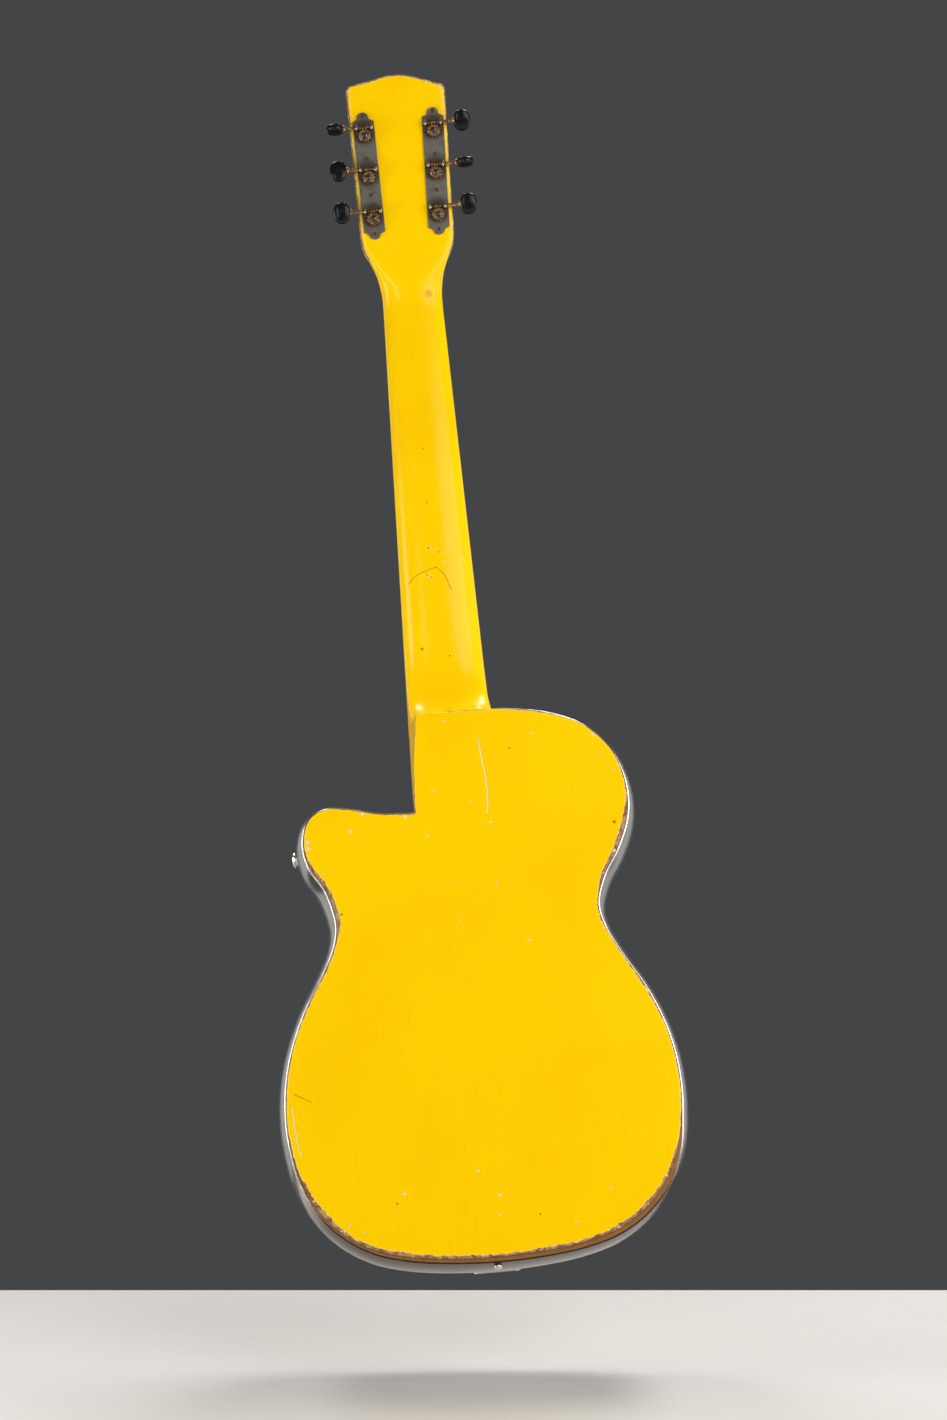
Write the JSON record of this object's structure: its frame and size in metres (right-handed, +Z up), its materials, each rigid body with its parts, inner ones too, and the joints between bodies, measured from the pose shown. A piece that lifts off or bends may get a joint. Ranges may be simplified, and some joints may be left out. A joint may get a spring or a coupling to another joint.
{
  "type": "resonator guitar",
  "caption": "Single-cutaway resonator guitar with a flat back, a bulged metal rim, a cone under a cover, a pitched headstock and open-gear tuners.",
  "frame": {"origin": "centre of the flat outer end of the end pin, the lowest point of the upright guitar", "axes": "+Z up the neck towards the headstock, +Y out of the strings' side, -Y out of the flat back, +X to the bass side, which is the right as seen from the back"},
  "size_m": [0.3159, 0.1024, 0.995],
  "materials": {
    "yellow_paint": "gloss yellow enamel over wood, worn at the edges",
    "bare_wood": "unfinished",
    "dark_wood": "oiled",
    "black_lacquer": "gloss lacquer",
    "polished_metal": "polished, lightly worn",
    "spun_aluminium": "spun",
    "aged_nickel": "tarnished nickel",
    "bronze": "worn copper-brown",
    "black_button": "gloss",
    "bone": "satin",
    "string_wire": "plain and wound wire"
  },
  "bodies": {
    "root": {"back_plate": "yellow_paint", "rim": "polished_metal", "top_plate": "yellow_paint", "neck_block": "yellow_paint", "tail_block": "bare_wood", "neck_stick": "bare_wood", "soundwell": "bare_wood", "resonator_cone": "spun_aluminium", "biscuit": "bare_wood", "saddle": "bone", "coverplate": "polished_metal", "palm_rest": "polished_metal", "screen_bass": "polished_metal", "screen_treble": "polished_metal", "tailpiece": "polished_metal", "end_pin": "polished_metal", "strap_stud": "polished_metal", "neck": "yellow_paint", "fingerboard": "dark_wood", "nut": "bone", "head_overlay": "black_lacquer", "tuner_plate_treble": "aged_nickel", "tuner_plate_bass": "aged_nickel", "string_1": "string_wire", "string_2": "string_wire", "string_3": "string_wire", "string_4": "string_wire", "string_5": "string_wire", "string_6": "string_wire", "bushing_treble_near": "aged_nickel", "bushing_treble_mid": "aged_nickel", "bushing_treble_far": "aged_nickel", "bushing_bass_near": "aged_nickel", "bushing_bass_mid": "aged_nickel", "bushing_bass_far": "aged_nickel"},
    "worm_treble_near": {"worm_shaft_treble_near": "bronze", "button_treble_near": "black_button"},
    "roller_treble_near": {"gear_treble_near": "bronze", "post_treble_near": "aged_nickel"},
    "worm_treble_mid": {"worm_shaft_treble_mid": "bronze", "button_treble_mid": "black_button"},
    "roller_treble_mid": {"gear_treble_mid": "bronze", "post_treble_mid": "aged_nickel"},
    "worm_treble_far": {"worm_shaft_treble_far": "bronze", "button_treble_far": "black_button"},
    "roller_treble_far": {"gear_treble_far": "bronze", "post_treble_far": "aged_nickel"},
    "worm_bass_near": {"worm_shaft_bass_near": "bronze", "button_bass_near": "black_button"},
    "roller_bass_near": {"gear_bass_near": "bronze", "post_bass_near": "aged_nickel"},
    "worm_bass_mid": {"worm_shaft_bass_mid": "bronze", "button_bass_mid": "black_button"},
    "roller_bass_mid": {"gear_bass_mid": "bronze", "post_bass_mid": "aged_nickel"},
    "worm_bass_far": {"worm_shaft_bass_far": "bronze", "button_bass_far": "black_button"},
    "roller_bass_far": {"gear_bass_far": "bronze", "post_bass_far": "aged_nickel"}
  },
  "joints": [
    {"name": "button_treble_near_turn", "type": "hinge", "parent": "root", "child": "worm_treble_near", "pos_m": [-0.0273, 0.03465, 0.88026], "axis": [1, 0, 0], "continuous": true},
    {"name": "post_treble_near_turn", "type": "hinge", "parent": "root", "child": "roller_treble_near", "pos_m": [-0.0273, 0.03974, 0.87425], "axis": [0, 0.9744, 0.225], "continuous": true},
    {"name": "button_treble_mid_turn", "type": "hinge", "parent": "root", "child": "worm_treble_mid", "pos_m": [-0.0284, 0.02673, 0.91456], "axis": [1, 0, 0], "continuous": true},
    {"name": "post_treble_mid_turn", "type": "hinge", "parent": "root", "child": "roller_treble_mid", "pos_m": [-0.0284, 0.03182, 0.90855], "axis": [0, 0.9744, 0.225], "continuous": true},
    {"name": "button_treble_far_turn", "type": "hinge", "parent": "root", "child": "worm_treble_far", "pos_m": [-0.029, 0.01882, 0.94885], "axis": [1, 0, 0], "continuous": true},
    {"name": "post_treble_far_turn", "type": "hinge", "parent": "root", "child": "roller_treble_far", "pos_m": [-0.029, 0.0239, 0.94284], "axis": [0, 0.9744, 0.225], "continuous": true},
    {"name": "button_bass_near_turn", "type": "hinge", "parent": "root", "child": "worm_bass_near", "pos_m": [0.0273, 0.03465, 0.88026], "axis": [1, 0, 0], "continuous": true},
    {"name": "post_bass_near_turn", "type": "hinge", "parent": "root", "child": "roller_bass_near", "pos_m": [0.0273, 0.03974, 0.87425], "axis": [0, 0.9744, 0.225], "continuous": true},
    {"name": "button_bass_mid_turn", "type": "hinge", "parent": "root", "child": "worm_bass_mid", "pos_m": [0.0284, 0.02673, 0.91456], "axis": [1, 0, 0], "continuous": true},
    {"name": "post_bass_mid_turn", "type": "hinge", "parent": "root", "child": "roller_bass_mid", "pos_m": [0.0284, 0.03182, 0.90855], "axis": [0, 0.9744, 0.225], "continuous": true},
    {"name": "button_bass_far_turn", "type": "hinge", "parent": "root", "child": "worm_bass_far", "pos_m": [0.029, 0.01882, 0.94885], "axis": [1, 0, 0], "continuous": true},
    {"name": "post_bass_far_turn", "type": "hinge", "parent": "root", "child": "roller_bass_far", "pos_m": [0.029, 0.0239, 0.94284], "axis": [0, 0.9744, 0.225], "continuous": true}
  ],
  "couplings": [
    {"joint": "post_treble_near_turn", "follows": "button_treble_near_turn", "ratio": -0.071429},
    {"joint": "post_treble_mid_turn", "follows": "button_treble_mid_turn", "ratio": -0.071429},
    {"joint": "post_treble_far_turn", "follows": "button_treble_far_turn", "ratio": -0.071429},
    {"joint": "post_bass_near_turn", "follows": "button_bass_near_turn", "ratio": -0.071429},
    {"joint": "post_bass_mid_turn", "follows": "button_bass_mid_turn", "ratio": -0.071429},
    {"joint": "post_bass_far_turn", "follows": "button_bass_far_turn", "ratio": -0.071429}
  ]
}
